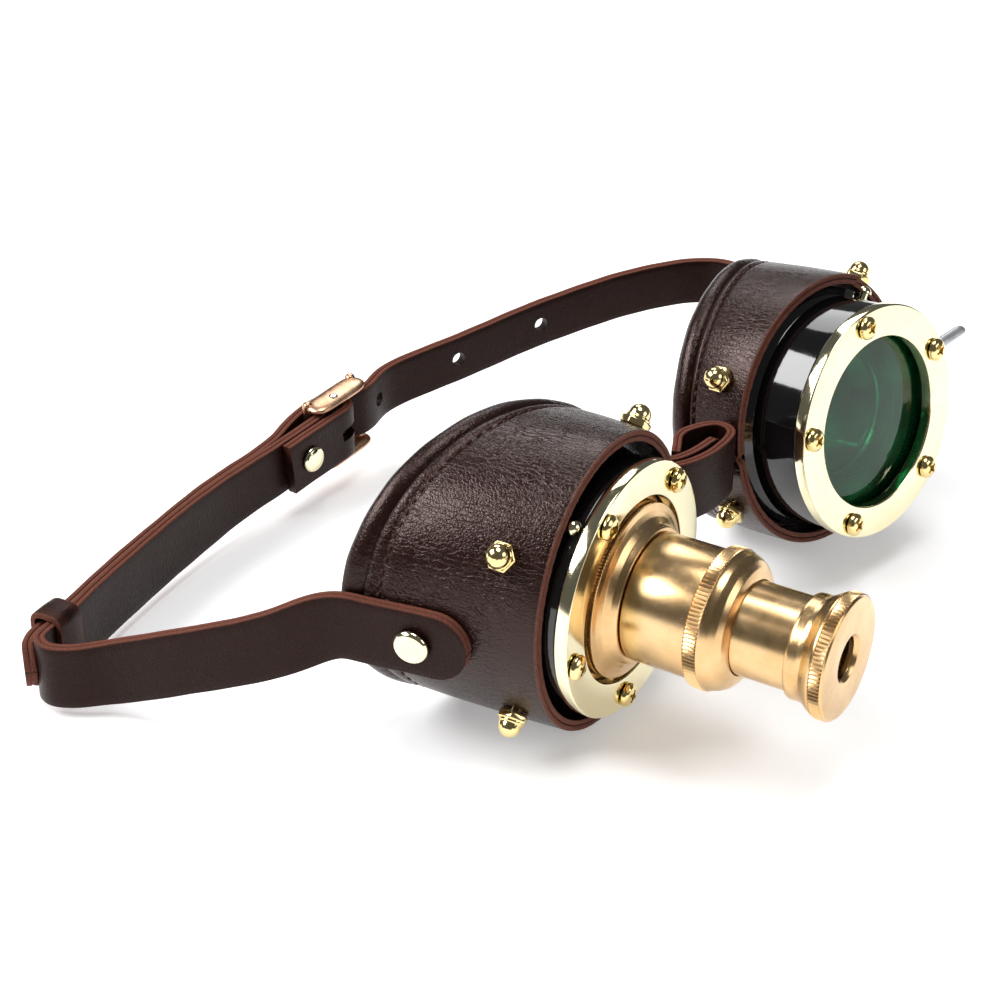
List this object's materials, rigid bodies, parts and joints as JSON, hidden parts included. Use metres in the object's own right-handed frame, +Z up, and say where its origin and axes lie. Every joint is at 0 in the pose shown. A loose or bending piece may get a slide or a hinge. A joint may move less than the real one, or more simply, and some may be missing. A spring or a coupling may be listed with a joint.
{
  "type": "steampunk welding goggles",
  "caption": "Leather eye-cup goggles with gilt bezels, a sliding brass telescope, a green lens with a lever iris, and a buckled strap",
  "frame": {"origin": "middle of the bottom of the bounding box, on the surface the goggles lie on", "axes": "+Z up; +X from the telescope cup to the green-lens cup; the lenses face -Y; the strap loops back to +Y"},
  "size_m": [0.2334, 0.1822, 0.0683],
  "materials": {
    "leather": "dark brown, semi-gloss, creased",
    "trim": "dark brown, soft, rolled",
    "gloss": "polished black",
    "gilt": "polished pale gold",
    "brass": "brushed, knurled rings",
    "green": "dark green, polished",
    "clear": "clear, polished",
    "steel": "polished",
    "blued": "blackened, satin",
    "copper": "polished rose gold"
  },
  "bodies": {
    "frame": {"scope_cup_leather": "leather", "scope_rim_roll": "trim", "scope_housing": "gloss", "scope_bezel": "gilt", "scope_bezel_screw_1": "gilt", "scope_bezel_screw_2": "gilt", "scope_bezel_screw_3": "gilt", "scope_bezel_screw_4": "gilt", "scope_bezel_screw_5": "gilt", "scope_cup_nut_1": "gilt", "scope_cup_nut_2": "gilt", "scope_cup_nut_3": "gilt", "scope_cup_nut_4": "gilt", "scope_housing_stud": "gilt", "scope_base_flange": "brass", "scope_objective_lens": "clear", "scope_barrel": "brass", "scope_mouth_ring": "brass", "strap_rivet_scope": "gilt", "bridge_rivet_scope": "gilt", "shade_cup_leather": "leather", "shade_rim_roll": "trim", "shade_housing": "gloss", "shade_bezel": "gilt", "shade_bezel_screw_1": "gilt", "shade_bezel_screw_2": "gilt", "shade_bezel_screw_3": "gilt", "shade_bezel_screw_4": "gilt", "shade_bezel_screw_5": "gilt", "shade_cup_nut_1": "gilt", "shade_cup_nut_2": "gilt", "shade_cup_nut_3": "gilt", "shade_cup_nut_4": "gilt", "shade_housing_stud": "gilt", "shade_green_lens": "green", "shade_iris_plate": "blued", "shade_iris_retainer": "blued", "strap_rivet_shade": "gilt", "bridge_rivet_shade": "gilt", "strap_a": "leather", "strap_b": "leather", "strap_keeper": "trim", "nose_bridge": "leather", "buckle_frame": "copper", "buckle_bar": "steel", "buckle_prong": "copper", "fold_rivet": "gilt"},
    "draw_tube": {"scope_draw_tube": "brass"},
    "eyepiece": {"scope_eyepiece": "brass", "scope_eye_lens": "clear"},
    "iris_lever": {"shade_iris_lever": "steel"},
    "iris_blade_1": {"shade_iris_blade_1": "blued"},
    "iris_blade_2": {"shade_iris_blade_2": "blued"},
    "iris_blade_3": {"shade_iris_blade_3": "blued"},
    "iris_blade_4": {"shade_iris_blade_4": "blued"},
    "iris_blade_5": {"shade_iris_blade_5": "blued"},
    "iris_blade_6": {"shade_iris_blade_6": "blued"}
  },
  "joints": [
    {"name": "draw_tube_slide", "type": "slide", "parent": "frame", "child": "draw_tube", "axis": [0.1736, -0.9848, 0], "range_m": [-0.0116, 0]},
    {"name": "eyepiece_turn", "type": "hinge", "parent": "draw_tube", "child": "eyepiece", "pos_m": [-0.02412, -0.08883, 0.03354], "axis": [0.1736, -0.9848, 0], "continuous": true},
    {"name": "iris_lever_swing", "type": "hinge", "parent": "frame", "child": "iris_lever", "pos_m": [0.05935, -0.02844, 0.03619], "axis": [-0.0655, -0.9866, 0.1495], "range_deg": [-30, 0]},
    {"name": "iris_blade_1_swing", "type": "hinge", "parent": "frame", "child": "iris_blade_1", "pos_m": [0.07759, -0.03202, 0.04732], "axis": [-0.0655, -0.9866, 0.1495], "range_deg": [-2, 40]},
    {"name": "iris_blade_2_swing", "type": "hinge", "parent": "frame", "child": "iris_blade_2", "pos_m": [0.05929, -0.02921, 0.05785], "axis": [-0.0655, -0.9866, 0.1495], "range_deg": [-2, 40]},
    {"name": "iris_blade_3_swing", "type": "hinge", "parent": "frame", "child": "iris_blade_3", "pos_m": [0.04078, -0.02957, 0.04732], "axis": [-0.0655, -0.9866, 0.1495], "range_deg": [-2, 40]},
    {"name": "iris_blade_4_swing", "type": "hinge", "parent": "frame", "child": "iris_blade_4", "pos_m": [0.04057, -0.03275, 0.02626], "axis": [-0.0655, -0.9866, 0.1495], "range_deg": [-2, 40]},
    {"name": "iris_blade_5_swing", "type": "hinge", "parent": "frame", "child": "iris_blade_5", "pos_m": [0.05887, -0.03556, 0.01573], "axis": [-0.0655, -0.9866, 0.1495], "range_deg": [-2, 40]},
    {"name": "iris_blade_6_swing", "type": "hinge", "parent": "frame", "child": "iris_blade_6", "pos_m": [0.07738, -0.0352, 0.02626], "axis": [-0.0655, -0.9866, 0.1495], "range_deg": [-2, 40]}
  ],
  "couplings": [
    {"joint": "iris_blade_1_swing", "follows": "iris_lever_swing", "ratio": -1.2},
    {"joint": "iris_blade_2_swing", "follows": "iris_lever_swing", "ratio": -1.2},
    {"joint": "iris_blade_3_swing", "follows": "iris_lever_swing", "ratio": -1.2},
    {"joint": "iris_blade_4_swing", "follows": "iris_lever_swing", "ratio": -1.2},
    {"joint": "iris_blade_5_swing", "follows": "iris_lever_swing", "ratio": -1.2},
    {"joint": "iris_blade_6_swing", "follows": "iris_lever_swing", "ratio": -1.2}
  ]
}
